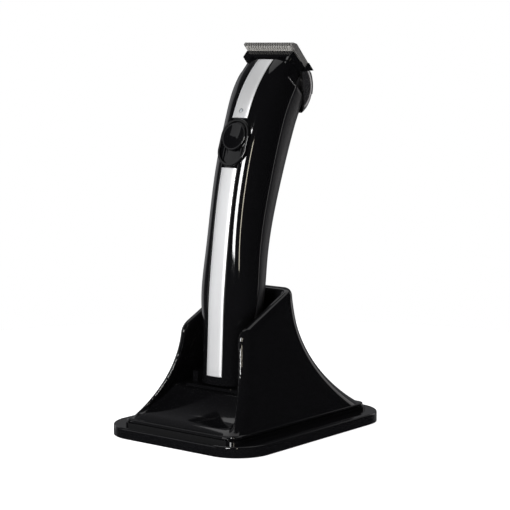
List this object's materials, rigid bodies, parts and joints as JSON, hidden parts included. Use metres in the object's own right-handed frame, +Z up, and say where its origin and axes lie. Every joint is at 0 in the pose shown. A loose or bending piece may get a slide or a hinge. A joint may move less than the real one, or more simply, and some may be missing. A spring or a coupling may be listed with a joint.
{
  "type": "hair clipper",
  "caption": "Slim cordless hair clipper with a slide switch, trim strip and snap-off adjustable blade set, standing in a flared charging stand.",
  "frame": {"origin": "centre of the stand's underside, on the surface it stands on", "axes": "+Z up, -Y the front where the channel is open, +X to the right seen from the front"},
  "size_m": [0.092, 0.1192, 0.1912],
  "materials": {
    "gloss_black": "piano black, polished",
    "satin_black": "fine moulded black",
    "trim_silver": "satin silver",
    "blade_steel": "ground steel",
    "smoked_chrome": "smoked mirror chrome",
    "steel": "plain",
    "rubber": "matt",
    "board_green": "solder mask",
    "contact_brass": "plated",
    "battery_wrap": "shrink sleeve",
    "lamp_clear": "light pipe"
  },
  "bodies": {
    "stand": {"base_plate": "satin_black", "rubber_feet": "rubber", "base_screws": "steel", "stand_shell": "gloss_black", "cradle_cup": "satin_black", "contact_spring_left": "steel", "contact_spring_right": "steel", "charging_board": "board_green", "dc_socket": "satin_black"},
    "pin_left": {"contact_pin_left": "contact_brass"},
    "pin_right": {"contact_pin_right": "contact_brass"},
    "clipper": {"front_shell": "gloss_black", "rear_shell": "satin_black", "shell_screws": "steel", "foot_cap": "satin_black", "charging_contacts": "contact_brass", "upper_trim_strip": "trim_silver", "lower_trim_strip": "trim_silver", "charge_lamp": "lamp_clear", "switch_bezel": "gloss_black", "power_switch": "satin_black", "circuit_board": "board_green", "battery_cell": "battery_wrap", "battery_tabs": "steel", "battery_holder": "satin_black", "motor_can": "steel", "motor_cap": "satin_black", "drive_frame": "steel", "lever_pin": "steel", "frame_screws": "steel"},
    "switch": {"switch_knob": "gloss_black"},
    "rotor": {"motor_shaft": "steel", "eccentric_cam": "satin_black"},
    "lever": {"drive_lever": "satin_black"},
    "blade_set": {"blade_carrier": "satin_black", "heel_cover": "smoked_chrome", "blade_screws": "steel", "cutter_spring": "steel"},
    "cutter": {"cutter_blade": "blade_steel", "cutter_drive_block": "satin_black"},
    "comb": {"comb_blade": "blade_steel"},
    "length_slider": {"length_slider": "satin_black"}
  },
  "joints": [
    {"name": "clipper_lift", "type": "slide", "parent": "stand", "child": "clipper", "axis": [0, 0, 1], "range_m": [0, 0.065]},
    {"name": "contact_press_left", "type": "slide", "parent": "stand", "child": "pin_left", "axis": [0, 0, -1], "range_m": [0, 0.0012], "stiffness_N_per_m": 180, "springref_m": -0.001, "deforming": ["contact_spring_left"]},
    {"name": "contact_press_right", "type": "slide", "parent": "stand", "child": "pin_right", "axis": [0, 0, -1], "range_m": [0, 0.0012], "stiffness_N_per_m": 180, "springref_m": -0.001, "deforming": ["contact_spring_right"]},
    {"name": "switch_slide", "type": "slide", "parent": "clipper", "child": "switch", "axis": [0, -0.3376, -0.9413], "range_m": [0, 0.0056]},
    {"name": "motor_spin", "type": "hinge", "parent": "clipper", "child": "rotor", "pos_m": [0, -0.00282, 0.11325], "axis": [0, 0.3185, 0.9479], "continuous": true},
    {"name": "lever_swing", "type": "hinge", "parent": "clipper", "child": "lever", "pos_m": [0, 0.0124, 0.15856], "axis": [0, -0.9479, 0.3185], "range_deg": [-2.52, 2.52]},
    {"name": "blade_unclip", "type": "hinge", "parent": "clipper", "child": "blade_set", "pos_m": [0, 0.02753, 0.15651], "axis": [-1, 0, 0], "range_deg": [0, 35]},
    {"name": "cutter_stroke", "type": "slide", "parent": "blade_set", "child": "cutter", "axis": [1, 0, 0], "range_m": [-0.00111, 0.00111]},
    {"name": "length_slide", "type": "slide", "parent": "blade_set", "child": "length_slider", "axis": [1, 0, 0], "range_m": [0, 0.008]},
    {"name": "comb_advance", "type": "slide", "parent": "blade_set", "child": "comb", "axis": [0, -0.6998, 0.7144], "range_m": [0, 0.0023]}
  ],
  "couplings": [
    {"joint": "cutter_stroke", "follows": "lever_swing", "m_per_rad": -0.025001},
    {"joint": "comb_advance", "follows": "length_slide", "ratio": 0.2875}
  ]
}
